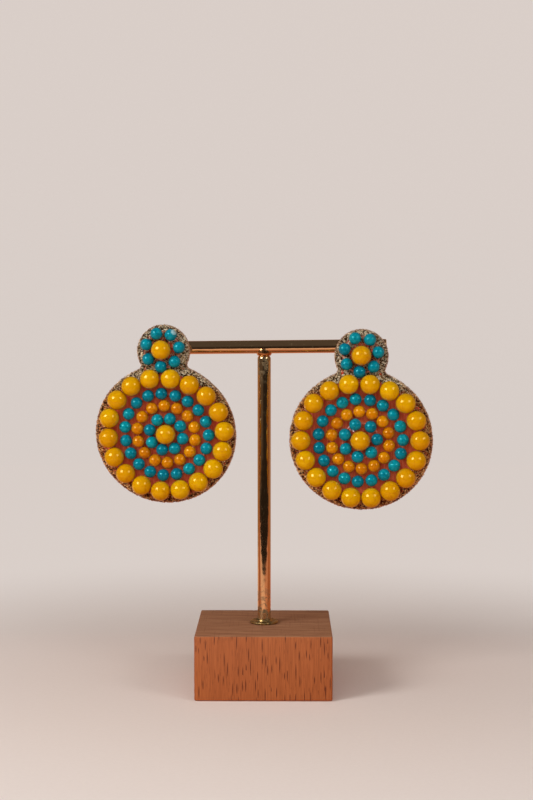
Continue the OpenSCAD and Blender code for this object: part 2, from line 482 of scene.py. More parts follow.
def skinned(name: str, rings: Iterable[Sequence[Sequence[float]]], looped: bool = False,
            capped: bool = False, crease: float = 40) -> Mesh:
    """Spans faces between neighbouring rings of points.

    Args:
        name: Name of the mesh.
        rings: Points of each ring in turn, or the one point of a pole.
        looped: Whether the last ring joins the first.
        capped: Whether the first and the last ring are filled.
        crease: Edges that bend by more than this angle look sharp.

    Returns:
        The mesh.
    """
    points, spans, faces = [], [], []
    for ring in rings:
        spans.append(range(len(points), len(points) + len(ring)))
        points += ring
    for low, high in zip(spans, spans[1:] + (spans[:1] if looped else [])):
        count = max(len(low), len(high))
        for k in range(count):
            after = (k + 1) % count
            corners = (low[k % len(low)], low[after % len(low)],
                       high[after % len(high)], high[k % len(high)])
            faces.append(list(dict.fromkeys(corners)))
    if capped:
        faces += [list(reversed(spans[0])), list(spans[-1])]
    return built(name, points, [face for face in faces if len(face) > 2], crease=crease)


def lathed(name: str, profile: Profile, sides: int, looped: bool = False,
           crease: float = 40) -> Mesh:
    """Turns a profile round Z.

    Args:
        name: Name of the mesh.
        profile: Radius and height of its points, upwards along the outside.
        sides: Number of faces round the axis.
        looped: Whether the profile closes on itself, as a ring's does.
        crease: Edges that bend by more than this angle look sharp.

    Returns:
        The mesh.
    """
    turns = [TURN * k / sides for k in range(sides)]
    rings = [[(r * cos(t), r * sin(t), z) for t in (turns if r else turns[:1])]
             for r, z in profile]
    return skinned(name, rings, looped, crease=crease)


def tubed(name: str, path: Profile, radius: float, sides: int = 5) -> Mesh:
    """A thread along a flat path, with its length and its turn noted at each point.

    Args:
        name: Name of the mesh.
        path: Points of the path, X and Z.
        radius: Radius of the thread.
        sides: Number of faces round the thread.

    Returns:
        The mesh.
    """
    line = np.array(path, float)
    ahead = np.gradient(line, axis=0)
    ahead /= np.linalg.norm(ahead, axis=1)[:, None]
    lengths = np.r_[0, np.cumsum(np.linalg.norm(np.diff(line, axis=0), axis=1))]
    spokes = [(radius * cos(TURN * k / sides), radius * sin(TURN * k / sides))
              for k in range(sides)]
    mesh = outward_faces(skinned(name, [[(x - dz * out, across, z + dx * out)
                                         for out, across in spokes]
                                        for (x, z), (dx, dz) in zip(line, ahead)],
                                 capped=True, crease=80))
    noted(mesh, ALONG, np.repeat(lengths, sides))
    return noted(mesh, AROUND, np.tile(np.arange(sides) / sides, len(line)))


def outward_faces(mesh: Mesh) -> Mesh:
    """Turns the faces of closed shells outwards.

    Args:
        mesh: The mesh.

    Returns:
        The same mesh.
    """
    shape = bmesh.new()
    shape.from_mesh(mesh)
    bmesh.ops.recalc_face_normals(shape, faces=shape.faces)
    shape.to_mesh(mesh)
    shape.free()
    return mesh


def drilled(mesh: Mesh, *tools: Mesh, crease: float = 40) -> Mesh:
    """Cuts holes in a mesh.

    Args:
        mesh: The mesh, which is used up.
        *tools: Meshes of what is cut away.
        crease: Edges that bend by more than this angle look sharp.

    Returns:
        The cut mesh.
    """
    host = linked(mesh.name, mesh)
    cutters = [linked("cutter", tool) for tool in tools]
    for cutter in cutters:
        modifier = host.modifiers.new("hole", "BOOLEAN")
        modifier.operation, modifier.solver, modifier.object = "DIFFERENCE", "EXACT", cutter
    cut = flattened(host)
    for cutter in cutters:
        bpy.data.objects.remove(cutter)
    return creased(cut, crease)


def joined(name: str, meshes: Iterable[Mesh]) -> Mesh:
    """Joins meshes of one finish into one, with their attributes.

    Args:
        name: Name of the result.
        meshes: The meshes, which are used up.

    Returns:
        The joined mesh.
    """
    things = [linked(name, mesh) for mesh in meshes]
    with bpy.context.temp_override(active_object=things[0], object=things[0],
                                   selected_objects=things, selected_editable_objects=things):
        bpy.ops.object.join()
    mesh = things[0].data
    bpy.data.objects.remove(things[0])
    return mesh


def place_piece(name: str, mesh: Mesh, where: Matrix, finish: Material, slot: Slot,
                *nodes: str) -> None:
    """Places a finished mesh as a piece of the part.

    Args:
        name: Name of the piece.
        mesh: Its mesh, in millimetres of a frame.
        where: That frame.
        finish: Its material.
        slot: The record's slot of that material. Not used.
        *nodes: CAD nodes that it stands for.
    """
    mesh.transform(Matrix.Scale(MM, 4) @ where)
    mesh.name = name
    mesh.materials.clear()
    mesh.materials.append(finish)
    mesh.polygons.foreach_set("material_index", np.zeros(len(mesh.polygons), np.int32))
    piece = linked(name, mesh)
    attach(piece, BODY)
    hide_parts(*nodes)
    log.info("%s: %d faces, for %s", name, len(mesh.polygons), ", ".join(nodes))


def solid_middles(node: str) -> list[Vector]:
    """The middle of each separate solid of a CAD node, in millimetres of the part's frame.

    Args:
        node: Name of the node.

    Returns:
        The middles.
    """
    shape = bmesh.new()
    shape.from_mesh(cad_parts[node].data)
    bmesh.ops.remove_doubles(shape, verts=shape.verts, dist=1e-6)
    waiting, middles = set(shape.verts), []
    while waiting:
        ahead, solid = [waiting.pop()], []
        while ahead:
            point = ahead.pop()
            solid.append(point.co.copy())
            near = {edge.other_vert(point) for edge in point.link_edges} & waiting
            waiting -= near
            ahead += near
        middles.append(Vector((np.min(solid, axis=0) + np.max(solid, axis=0)) / 2 / MM))
    shape.free()
    return middles


# Finishes


@dataclass(frozen=True)
class BeadGlaze:
    """Glossy opaque bead glass, clouded and veined, with a tone of its own in each bead."""

    name: str
    body: Colour
    deep: Colour
    pale: Colour
    vein: Colour
    gleam: Colour
    cloud: float
    vein_share: float
    vein_width: float = 0.04
    cloud_share: float = 0.5
    swing: float = 0.6
    roughness: float = 0.09
    pit_depth: float = 0.008
    chip: Vector | None = None

    def made(self) -> Material:
        """Builds the material.

        Returns:
            The material.
        """
        bench = FinishBench(self.name)
        tone = bench.read(TONE)
        clouds = bench.step(bench.noise(self.cloud, 3, distortion=0.8), 0.42, 0.68)
        colour = bench.blend(clouds * self.cloud_share, self.body, self.pale)
        colour = bench.blend(bench.step(tone, 0.35, 1.0) * self.swing, colour, self.deep)
        colour = bench.blend(bench.step(tone, 0.25, 0.0) * (self.swing * 0.7), colour, self.pale)
        ridges = abs(bench.noise(self.cloud * 1.7, 4, distortion=1.6) - 0.5)
        veins = bench.step(ridges, self.vein_width, 0.0) * bench.step(clouds, 1.0, 0.2)
        colour = bench.blend(veins * self.vein_share, colour, self.vein)
        rough = clouds * 0.03 + veins * 0.1 + self.roughness
        if self.chip:
            ragged = bench.away(self.chip) + bench.noise(0.7) * 1.2
            bare = bench.step(ragged, 2.35, 1.5)
            colour = bench.blend(bare * 0.8, colour, paint(158, 190, 194))
            rough = rough + bare * 0.3
        return bench.finished(Base_Color=colour, Roughness=rough, Specular_IOR_Level=0.7,
                              Specular_Tint=self.gleam,
                              Normal=bench.relief(bench.noise(1.6), self.pit_depth))


YELLOW_GLAZE = BeadGlaze("yellow_bead_glaze", paint(196, 146, 0), paint(190, 128, 0),
                         paint(208, 163, 0), paint(174, 106, 0), gleam=paint(255, 232, 150),
                         cloud=3.2, vein_share=0.5, vein_width=0.03)
ORANGE_GLAZE = BeadGlaze("orange_bead_glaze", paint(184, 112, 0), paint(170, 94, 0),
                         paint(204, 140, 4), paint(142, 68, 0), gleam=paint(255, 226, 150),
                         cloud=1.6, vein_share=0.7, cloud_share=0.6)
TEAL_GLAZE = BeadGlaze("teal_bead_glaze", paint(0, 118, 138), paint(0, 92, 118),
                       paint(10, 142, 152), paint(0, 60, 70), gleam=paint(120, 236, 248),
                       cloud=1.9, vein_share=0.65)


@dataclass(frozen=True)
class ClothWeave:
    """Matt red cloth in a plain weave, whose warp stands out as fine upright lines."""

    warp: float = 0.46
    weft: float = 0.40

    def made(self) -> Material:
        """Builds the material.

        Returns:
            The material.
        """
        bench = FinishBench("red_cloth_weave")
        lay = bench.read(LAY, "Vector")
        bent = bench.noise(3.0, 2, lay) * 0.35
        x, y = (part + bent for part in bench.parts(lay)[:2])
        warp, weft = (x * (TURN / self.warp)).wave(), (y * (TURN / self.weft)).wave()
        over = (x * (pi / self.warp) + y * (pi / self.weft)).wave()
        fibre = bench.noise(1.0, 3, bench.boxed((0.12, 0.5, 0.5), lay))
        height = warp * 0.55 + weft * 0.2 + over * 0.15 + fibre * 0.1
        streaks = bench.step(bench.noise(1.0, 3, bench.boxed((0.7, 4.0, 4.0), lay)), 0.3, 0.7)
        thread = bench.blend(streaks, paint(220, 80, 42), paint(242, 122, 78))
        # Painted shade: the weave's low points are darkened
        colour = bench.blend(bench.step(height, 0.62, 0.22) * 0.75, thread, paint(156, 42, 22))
        return bench.finished(Base_Color=colour, Roughness=0.95 - fibre * 0.15,
                              Sheen_Weight=0.25, Normal=bench.relief(height, 0.12))


@dataclass(frozen=True)
class MetalThread:
    """Thread wound with a fine metal strip, in champagne, olive gold and dark brown, with painted
    reflections: a warm one of the paper on its lower part and a pale one on the outer bend of each
    stitch.
    """

    pitch: float = 0.34
    grain: float = 0.48
    # Height in millimetres below which the thread gets a painted warm reflection of the paper
    warm_reflection_below: float = 124.0

    def made(self) -> Material:
        """Builds the material.

        Returns:
            The material.
        """
        bench = FinishBench("metallic_stitching_thread")
        tone, along, around = (bench.read(name) for name in (TONE, ALONG, AROUND))
        grains = bench.parts(bench.cells(bench.boxed([self.grain] * 3), "Color"))[0]
        mixed = tone * 0.25 + grains * 0.75
        olive = bench.ramp(mixed, (0.24, paint(36, 19, 7)), (0.42, paint(94, 62, 27)),
                           (0.5, paint(170, 134, 80)), (0.58, paint(222, 196, 146)),
                           (0.72, paint(255, 244, 216)))
        brown = bench.ramp(mixed, (0.24, paint(48, 13, 3)), (0.42, paint(132, 54, 12)),
                           (0.5, paint(200, 104, 30)), (0.58, paint(244, 158, 68)),
                           (0.72, paint(255, 210, 136)))
        # Painted reflection: the thread is browned below that height, standing in for the warm
        # paper it mirrors
        warm_reflection_share = bench.step(bench.spot()[2], self.warm_reflection_below + 2, self.warm_reflection_below - 6)
        thread_and_reflections = bench.blend(warm_reflection_share * 0.85, olive, brown)
        # Painted reflection: a pale pink sheen on the outer bend of each stitch
        thread_and_reflections = bench.blend(bench.step(along, 1.45, 1.95) * 0.4, thread_and_reflections, paint(244, 196, 164))
        winding = (along * (TURN / self.pitch) + around * TURN).wave()
        gaps = bench.step(winding, 0.35, 0.0)
        colour = bench.blend(gaps * 0.6, thread_and_reflections, paint(66, 34, 16))
        crumpled = bench.relief(bench.noise(self.grain), 0.3)
        return bench.finished(Base_Color=colour, Roughness=0.3 + gaps * 0.3,
                              Metallic=0.7 - gaps * 0.55,
                              Normal=bench.relief(winding, 0.06, crumpled))


@dataclass(frozen=True)
class BeadThread:
    """Clear nylon thread that the beads are strung and held down with."""

    frayed: Vector | None = None

    def made(self) -> Material:
        """Builds the material.

        Returns:
            The material.
        """
        bench = FinishBench("frayed_nylon_thread" if self.frayed else "clear_nylon_thread")
        haze = bench.noise(0.5)
        colour = bench.blend(haze, paint(186, 96, 78), paint(216, 136, 114))
        if self.frayed:
            colour = bench.blend(bench.step(bench.away(self.frayed), 2.0, 1.6), colour,
                                 paint(255, 238, 246))
        return bench.finished(Base_Color=colour, Roughness=0.16 + haze * 0.12,
                              Transmission_Weight=0.3, IOR=1.5)


@dataclass(frozen=True)
class BrassFinish:
    """Bright drawn brass with fine draw lines and brown mottling where it was heated or handled."""

    name: str
    axis: int = 2
    bright: Colour = paint(224, 198, 154)
    roughness: float = 0.055
    spots: float = 0.35
    stained: Profile = ()

    def made(self) -> Material:
        """Builds the material.

        Returns:
            The material.
        """
        bench = FinishBench(self.name)
        drawn = bench.noise(1, 2, bench.boxed([14 if k == self.axis else 0.35 for k in range(3)]))
        height = bench.spot()[2]
        specks = bench.step(bench.noise(0.8, 4, distortion=0.6), 0.62, 0.74)
        blotches = bench.step(bench.noise(2.4, 4, distortion=1.0), 0.46, 0.62)
        stained = specks * self.spots
        for fully, clear in self.stained:
            stained = stained + bench.step(height, clear, fully) * blotches * 0.8
        colour = bench.blend(stained, bench.blend(drawn * 0.35, self.bright, paint(188, 158, 112)),
                             paint(66, 50, 28))
        waves = bench.relief(bench.noise(5.0, 1), 0.06)
        return bench.finished(Base_Color=colour, Metallic=1.0 - stained * 0.35,
                              Roughness=self.roughness + drawn * 0.04 + stained * 0.35,
                              Normal=bench.relief(drawn * 0.7 + stained * 0.3, 0.012, waves))


@dataclass(frozen=True)
class BeechGrain:
    """Oiled beech with its short dark flecks, pores, and growth rings on the end grain."""

    ring: float = 5.4

    def flecks(self, bench: FinishBench, grain: Signal, sizes: Sequence[float],
               half_width: float, half_length: float, bare: float) -> Signal:
        """Draws upright flecks, pointed at both ends.

        Args:
            bench: The material under construction.
            grain: Place across, into and along the grain of a face, in millimetres.
            sizes: Size of the cells that hold one fleck each.
            half_width: Half the width of a fleck.
            half_length: Half the length of the longest.
            bare: Share of the cells that hold none.

        Returns:
            1 on a fleck and 0 beside it.
        """
        cell = bench.boxed(sizes, grain)
        draw, length, _ = bench.parts(bench.cells(cell, "Color"))
        x, _, z = bench.parts(bench.vector_maths("SUBTRACT", cell, bench.cells(cell, "Position")))
        along = z * (sizes[2] / half_length) * (1.0 / (length * 0.6 + 0.4))
        lens = abs(x) * (sizes[0] / half_width) + along * along
        return bench.step(lens, 1.1, 0.6) * bench.step(draw, bare, bare + 0.05)

    def made(self) -> Material:
        """Builds the material.

        Returns:
            The material.
        """
        bench = FinishBench("oiled_beech")
        fibre = bench.noise(1, 4, bench.boxed((0.32, 0.32, 9.0)))
        broad = bench.noise(1, 2, bench.boxed((7.0, 7.0, 60.0)))
        x, y, z = bench.spot()
        out_x, _, out_z = bench.parts(bench.signal("ShaderNodeNewGeometry", {}, output="Normal"))
        turned_face = bench.step(abs(out_x), 0.5, 0.7)
        grain = bench.vector(x + (y - x) * turned_face, y + (x - y) * turned_face, z)
        rings = ((y + x * 0.12 + broad * 6.0) * (TURN / self.ring)).wave()
        flecks = bench.maths("MAXIMUM", self.flecks(bench, grain, (1.9, 9.0, 9.4), 0.22, 4.0, 0.26),
                             self.flecks(bench, grain, (1.1, 6.0, 5.4), 0.16, 2.0, 0.5) * 0.35)
        sawn = bench.step(bench.noise(1, 3, bench.boxed((16.0, 1.8, 60.0)), 0.6), 0.36, 0.64)
        end_grain = bench.step(abs(out_z), 0.6, 0.9)
        side = bench.blend(bench.step(fibre, 0.25, 0.75), paint(139, 74, 33), paint(163, 91, 46))
        side = bench.blend(rings * 0.16, side, paint(128, 60, 26))
        end = bench.blend(sawn, paint(141, 94, 66), paint(160, 113, 82))
        end = bench.blend(rings * 0.35 * broad, end, paint(104, 64, 42))
        wood = bench.blend(end_grain, side, end)
        colour = bench.blend(flecks * (0.95 - end_grain * 0.77), wood, paint(86, 34, 13))
        height = fibre * 0.35 + rings * 0.15 + (1.0 - flecks) * 0.5
        return bench.finished(Base_Color=colour, Specular_IOR_Level=0.35,
                              Roughness=0.52 + fibre * 0.12 + end_grain * 0.12,
                              Normal=bench.relief(height, 0.06))


@dataclass(frozen=True)
class SteelFinish:
    """Plain bright steel of the ear posts, faintly scratched."""

    def made(self) -> Material:
        """Builds the material.

        Returns:
            The material.
        """
        bench = FinishBench("ear_post_steel")
        scratches = bench.noise(1, 3, bench.boxed((0.12, 1.6, 1.6)))
        colour = bench.blend(scratches, paint(168, 166, 162), paint(206, 204, 200))
        return bench.finished(Base_Color=colour, Metallic=0.95, Roughness=0.2 + scratches * 0.2,
                              Normal=bench.relief(scratches, 0.006))


@dataclass(frozen=True)
class PaperFinish:
    """Matt pale paper of the studio, with a glow where it runs out of the lights."""

    name: str
    lit_radius: float = 40.0
    far_radius: float = 330.0
    glow: float = 0.82

    def made(self) -> Material:
        """Builds the material.

        Returns:
            The material.
        """
        bench = FinishBench(self.name)
        colour = bench.blend(bench.noise(1.5, 3), paint(230, 219, 213), paint(234, 224, 218))
        far = bench.step(bench.vector_maths("LENGTH", bench.place), self.lit_radius * MM,
                         self.far_radius * MM)
        return bench.finished(Base_Color=bench.blend(far * 0.94, colour, BLACK), Roughness=0.9,
                              Specular_IOR_Level=0.2, Emission_Strength=self.glow,
                              Emission_Color=bench.blend(far, BLACK, colour))


@dataclass(frozen=True)
class MirroredTable:
    """What the brass mirrors from below and in front: warm paper up to its edge, then dark."""

    edge: float = 268.0
    fade: float = 12.0
    sweep: float = 0.0007

    def made(self) -> Material:
        """Builds the material.

        Returns:
            The material.
        """
        bench = FinishBench("mirrored_table")
        x, y, _ = bench.spot()
        # Painted light and shade on the mirrored paper: lighter towards the left, the key light's
        # side, and darker near the stand, as painted shadow of the stand
        paper = bench.blend(bench.step(x, -10, 90), paint(250, 196, 172), paint(220, 150, 122))
        paper = bench.blend(bench.step(y, -170, -50), paper, paint(178, 104, 70))
        inside = bench.step(y - x * x * self.sweep, -self.edge - self.fade, -self.edge + self.fade)
        return bench.finished(Base_Color=BLACK, Roughness=1.0, Specular_IOR_Level=0.0,
                              Emission_Color=bench.blend(inside, paint(42, 33, 28), paper),
                              Emission_Strength=1.0)


# The stand


@dataclass(frozen=True)
class Stand:
    """Beech block with a brass T-bar, turned and soldered from one rod size."""

    block_width: float = 54.7
    block_height: float = 25.7
    easing: float = 0.55
    rod: float = 2.7
    bevel: float = 0.3
    bar_height: float = 139.3
    bar_length: float = 99.4
    bar_easing: float = 0.35
    twist: float = 5.8
    tilt: float = 0.7
    tenon_end: float = 7.7
    post_top: float = 135.8
    shoulder: float = 1.2
    pin_spacing: float = 80.5
    pin_hole: float = 0.6
    flange_radius: float = 5.8
    flange_height: float = 1.1
    sides: int = 96

    def bar_frame(self) -> Matrix:
        """The bar's own frame, with X along the bar."""
        return (moved(0, 0, self.bar_height) @ turned(radians(-self.twist), "Z")
                @ turned(radians(-self.tilt), "Y"))

    def block(self) -> Mesh:
        """The block with eased edges and the blind hole for the post.

        Returns:
            Its mesh.
        """
        shape = bmesh.new()
        bmesh.ops.create_cube(shape, size=1)
        shape.transform(moved(0, 0, self.block_height / 2) @ Matrix.Diagonal(
            (self.block_width, self.block_width, self.block_height, 1)))
        bmesh.ops.bevel(shape, geom=shape.edges[:], offset=self.easing, segments=4, profile=0.5,
                        affect="EDGES")
        mesh = bpy.data.meshes.new("block")
        shape.to_mesh(mesh)
        shape.free()
        floor, wall, above = self.tenon_end - FIT, self.rod + FIT, 30
        bore = lathed("bore", [(0, floor), (wall, floor), (wall, above), (0, above)], 48)
        return drilled(mesh, bore, crease=30)

    def post(self) -> Mesh:
        """The post, with a bevelled foot and a rounded shoulder.

        Returns:
            Its mesh.
        """
        top = arc(self.rod - self.shoulder, self.post_top - self.shoulder, self.shoulder, 0,
                  QUARTER, 9)
        rows = [(self.rod, z) for z in np.linspace(self.tenon_end + self.bevel, top[0][1], 24)]
        return lathed("post", [(0, self.tenon_end), (self.rod - self.bevel, self.tenon_end),
                               *rows[:-1], *top, (0, self.post_top)], self.sides)

    def bar(self) -> Mesh:
        """The cross-bar along X, with eased ends and the holes for the two ear pins.

        Returns:
            Its mesh.
        """
        half, ease, reach = self.bar_length / 2, self.bar_easing, 5
        end = arc(self.rod - ease, half - ease, ease, 0, QUARTER, 5)
        rows = [(self.rod, z) for z in np.linspace(-half + ease, half - ease, 22)[1:-1]]
        rod = lathed("bar", [(0, -half), *((r, -z) for r, z in reversed(end)), *rows, *end,
                             (0, half)], self.sides)
        rod.transform(turned(QUARTER, "Y"))
        holes = []
        for side in (-1, 1):
            hole = lathed("pin_hole", [(0, -reach), (self.pin_hole, -reach),
                                       (self.pin_hole, reach), (0, reach)], 24)
            hole.transform(moved(side * self.pin_spacing / 2, 0, 0) @ turned(QUARTER, "X"))
            holes.append(hole)
        return drilled(rod, *holes)

    def solder(self) -> Mesh:
        """The solder under the bar, drawn up in a lump on each side of the post.

        Returns:
            Its mesh.
        """
        girth = 2.9
        mesh = lathed("solder", [(0, -3.75), (2.35, -3.6), (2.62, -3.25), (2.82, -2.8),
                                 (girth, -2.2), (2.92, -1.6), (2.88, -1.0), (2.75, -0.5),
                                 (2.4, -0.2), (0, -0.1)], 48, crease=80)
        for point in mesh.vertices:
            x, y, z = point.co
            angle, reach = atan2(y, x), hypot(x, y) / girth
            lump = 0.26 * abs(cos(angle)) ** 3 - 0.1 * abs(sin(angle)) ** 2
            ripple = 0.05 * sin(3 * angle + 2.1 * z) * sin(2 * z)
            point.co.xy *= 1 + (lump + ripple) * reach / girth
        return mesh

    def flange(self) -> Mesh:
        """The turned collar at the post's foot, with a rounded rim and a dished top.

        Returns:
            Its mesh.
        """
        r, top, bore = self.flange_height / 2, self.flange_height, self.rod + FIT
        rim = self.flange_radius - r
        return lathed("flange", [(bore, 0.0), (3.4, 0.0), *arc(rim, r, r, -QUARTER, QUARTER, 13),
                                 (rim - 0.35, top - 0.06), (rim - 0.8, top - 0.2), (4.0, 0.86),
                                 (3.75, 0.9), (3.55, 1.0), (3.42, 1.2), (3.3, 1.5), (3.15, 1.74),
                                 (2.98, 1.86), (2.8, 1.88), (bore, 1.85)], self.sides,
                      looped=True, crease=50)

    def dress(self) -> None:
        """Builds and finishes the stand's pieces."""
        here, joint = moved(0, 0, 0), moved(0, 0, self.bar_height)
        place_piece("beech_block", self.block(), here, BeechGrain().made(), Slot.BEECH,
                    "wood_block")
        flange = BrassFinish("flange_brass", bright=paint(176, 146, 92), spots=0.8, roughness=0.32,
                             stained=[(27.0, 40.0)])
        post = BrassFinish("post_brass", stained=[(27.0, 46.0), (135.0, 122.0)])
        solder = BrassFinish("solder_brass", bright=paint(190, 140, 92), roughness=0.2, spots=0.9)
        for name, mesh, where, finish, node in (
                ("brass_flange", self.flange(), moved(0, 0, self.block_height + FIT), flange,
                 "foot_flange"),
                ("brass_post", self.post(), here, post, "t_bar"),
                ("brass_cross_bar", self.bar(), self.bar_frame(), BrassFinish("bar_brass", axis=0),
                 "t_bar"),
                ("solder_collar", self.solder(), joint, solder, "t_bar")):
            place_piece(name, mesh, where, finish.made(), Slot.BRASS, node)


# The earrings


@dataclass(frozen=True)
class DrilledBead:
    """A round bead, drilled along X, with rounded lips at its hole."""

    name: str
    diameter: float
    hole: float
    lip: float
    sides: int
    rows: int
    patch: float
    couching: float

    def mesh(self) -> Mesh:
        """The bead round the origin.

        Returns:
            Its mesh.
        """
        r, bore = self.diameter / 2, self.hole / 2 + self.lip
        middle = sqrt((r - self.lip) ** 2 - bore ** 2)
        contact = atan2(middle, bore)
        upper = arc(bore, middle, self.lip, contact, pi, 5)
        lower = [(radius, -height) for radius, height in reversed(upper)]
        round_side = arc(0, 0, r, -contact, contact, self.rows)[1:-1]
        mesh = lathed("bead", [*lower, *round_side, *upper], self.sides, looped=True, crease=80)
        mesh.transform(turned(QUARTER, "Y"))
        return mesh


BIG_BEAD = DrilledBead("big", 8.0, hole=1.0, lip=0.25, sides=40, rows=25, patch=2.6, couching=4.2)
SMALL_BEAD = DrilledBead("small", 5.0, hole=0.8, lip=0.18, sides=28, rows=17, patch=1.8,
                         couching=2.7)


@dataclass(frozen=True)
class Outline:
    """Outline of the two joined discs, measured from the small disc's middle."""

    bulge: float
    bulge_axis: float
    big: float = 28.55
    small: float = 10.85
    spacing: float = 33.7
    corner: float = 1.8
    bulge_end: float = -6.0
    bulge_fade: float = 6.0
    count: int = 360

    def loop(self, inset: float) -> tuple[np.ndarray, np.ndarray]:
        """Goes round the outline anticlockwise.

        Args:
            inset: How far inside the outline.

        Returns:
            The points, evenly spaced, and the way outwards at each.
        """
        a, b = self.small + self.corner, self.big + self.corner
        up = (b * b - a * a - self.spacing ** 2) / (2 * self.spacing)
        across = sqrt(a * a - up * up)
        low, high = atan2(up + self.spacing, across), atan2(up, across)
        points = []
        for x, y, radius, start, end in (
                (0, -self.spacing, self.big - inset, pi - low, TURN + low),
                (across, up, self.corner + inset, low + pi, high + pi),
                (0, 0, self.small - inset, high, pi - high),
                (-across, up, self.corner + inset, -high, -low)):
            points += arc(x, y, radius, start, end, 400)[:-1]
        points = np.array([*points, points[0]])
        arm = points + (0, self.spacing)
        share = np.clip((self.bulge_end - points[:, 1]) / self.bulge_fade, 0, 1)
        turn = np.arctan2(arm[:, 1], arm[:, 0]) - radians(self.bulge_axis)
        swell = share * self.bulge * np.cos(2 * turn) / np.linalg.norm(arm, axis=1)
        points += arm * swell[:, None]
        lengths = np.r_[0, np.cumsum(np.linalg.norm(np.diff(points, axis=0), axis=1))]
        stops = np.linspace(0, lengths[-1], self.count, endpoint=False)
        even = np.stack([np.interp(stops, lengths, points[:, k]) for k in (0, 1)], 1)
        ahead = np.roll(even, -1, 0) - np.roll(even, 1, 0)
        ahead /= np.linalg.norm(ahead, axis=1)[:, None]
        return even, np.stack([ahead[:, 1], -ahead[:, 0]], 1)

    def filling(self, inset: float, step: float) -> list[tuple[float, float]]:
        """Points of a grid that lie well inside the outline.

        Args:
            inset: Least distance from the edge of a disc.
            step: Distance between neighbours.

        Returns:
            The points.
        """
        row_step = step * 0.87
        rows = np.arange(-self.spacing - self.big, self.small, row_step)
        grid = ((x + (row % 2) * step / 2, y) for row, y in enumerate(rows)
                for x in np.arange(-self.big, self.big, step))
        return [(x, y) for x, y in grid if hypot(x, y + self.spacing) < self.big - inset
                or hypot(x, y) < self.small - inset]


@dataclass
class SewingBox:
    """Trees, patterns and finishes that both earrings are sewn with."""

    seat: float = 2.0
    thread_radius: float = 0.2
    stitch_radius: float = 0.19

    def __post_init__(self) -> None:
        """Builds the trees, the patterns and the finishes."""
        self.setter, self.stitcher = self.bead_setter(), self.edge_stitcher()
        self.stringer = self.thread_stringer()
        patterns = {
            # Over the edge from the face to the back, outwards along X
            "overcast": tubed("stitch", [(-1.95, 1.75), (-1.7, 2.12), (-0.9, 2.2), (-0.28, 2.05),
                                         (-0.17, 1.0), (-0.28, -0.05), (-0.9, -0.2),
                                         (-1.6, -0.12), (-1.8, 0.25)], self.stitch_radius),
            # Astray over the others on the face
            "cross": tubed("stitch", [(-2.3, 1.85), (-1.95, 2.16), (-1.0, 2.34), (-0.35, 2.2),
                                      (-0.12, 1.7), (-0.25, 1.1)], self.stitch_radius * 0.9),
            # Short and flat on the cloth, along X
            "darning": tubed("stitch", [(-0.85, -0.15), (-0.6, 0.12), (0.0, 0.2), (0.6, 0.12),
                                        (0.85, -0.15)], self.stitch_radius)}
        for bead in (BIG_BEAD, SMALL_BEAD):
            patterns |= {bead.name: bead.mesh(),
                         f"{bead.name}_couching": self.couching_stitch(bead.couching)}
        self.patterns = {name: linked(f"{name}_pattern", mesh) for name, mesh in patterns.items()}
        self.cloth, self.metal_thread, self.bead_thread, self.steel = (
            finish().made() for finish in (ClothWeave, MetalThread, BeadThread, SteelFinish))
        self.yellow, self.orange, self.teal = (
            glaze.made() for glaze in (YELLOW_GLAZE, ORANGE_GLAZE, TEAL_GLAZE))

    def couching_stitch(self, depth: float) -> Mesh:
        """One stitch over the bead thread and down into the cloth.

        Args:
            depth: How far down it goes.

        Returns:
            Its mesh.
        """
        half = [(0.24, -0.05), (0.42, -depth * 0.45), (0.55, -depth)]
        mesh = tubed("couching_stitch", [*((-x, z) for x, z in reversed(half)), (0.0, 0.28), *half],
                     self.thread_radius * 0.8)
        mesh.transform(turned(QUARTER, "Z"))
        return mesh

    def bead_setter(self) -> SewingBench:
        """A tree that sets a pattern on each point, along its heading and spun about it.

        Returns:
            The bench of the tree.
        """
        bench = SewingBench("set_on_points", "spin")
        x, y, _ = bench.named(HEADING)
        spin = bench.given("spin")
        turn = bench.turned(bench.chance(spin * -1.0, spin, 1), bench.chance(-0.06, 0.06, 2),
                            bench.maths("ARCTAN2", y, x) + bench.chance(-0.05, 0.05, 3))
        return bench.close(bench.copied(bench.given("Geometry"), turn,
                                        bench.chance(0.99, 1.005, 4)))

    def edge_stitcher(self) -> SewingBench:
        """A tree that sews a stitch over an edge at every step of its pitch.

        Returns:
            The bench of the tree.
        """
        bench = SewingBench("sewn_over_edge", "pitch", "slant", "spread", "jitter")
        jitter, spread = bench.given("jitter"), bench.given("spread")
        shift = bench.vector(*(bench.chance(-1.0, 1.0, draw) * jitter for draw in (1, 2, 3)))
        loose = bench.signal("GeometryNodeSetPosition", {}, Geometry=bench.paced(bench.curve()),
                             Offset=shift)
        x, y, _ = bench.named(OUTWARD)
        turn = bench.turned(0.0, 0.0, bench.maths("ARCTAN2", y, x) + bench.given("slant")
                            + bench.chance(spread * -1.0, spread, 4))
        scale = bench.vector(bench.chance(0.84, 1.04, 5), 1.0, bench.chance(0.96, 1.02, 6))
        return bench.close(bench.copied(loose, turn, scale))

    def thread_stringer(self) -> SewingBench:
        """A tree that lays a round thread along the edges of a mesh.

        Returns:
            The bench of the tree.
        """
        bench = SewingBench("strung_thread", "radius", "pitch")
        bent = bench.signal("GeometryNodeCurveSplineType", {"spline_type": "CATMULL_ROM"},
                            Curve=bench.curve())
        ring = bench.signal("GeometryNodeCurvePrimitiveCircle", {}, Resolution=8,
                            Radius=bench.given("radius"))
        return bench.close(bench.signal("GeometryNodeCurveToMesh", {}, Curve=bench.paced(bent),
                                        Profile_Curve=ring, Fill_Caps=True))

    def put_away(self) -> None:
        """Removes the patterns."""
        for pattern in self.patterns.values():
            bpy.data.objects.remove(pattern)


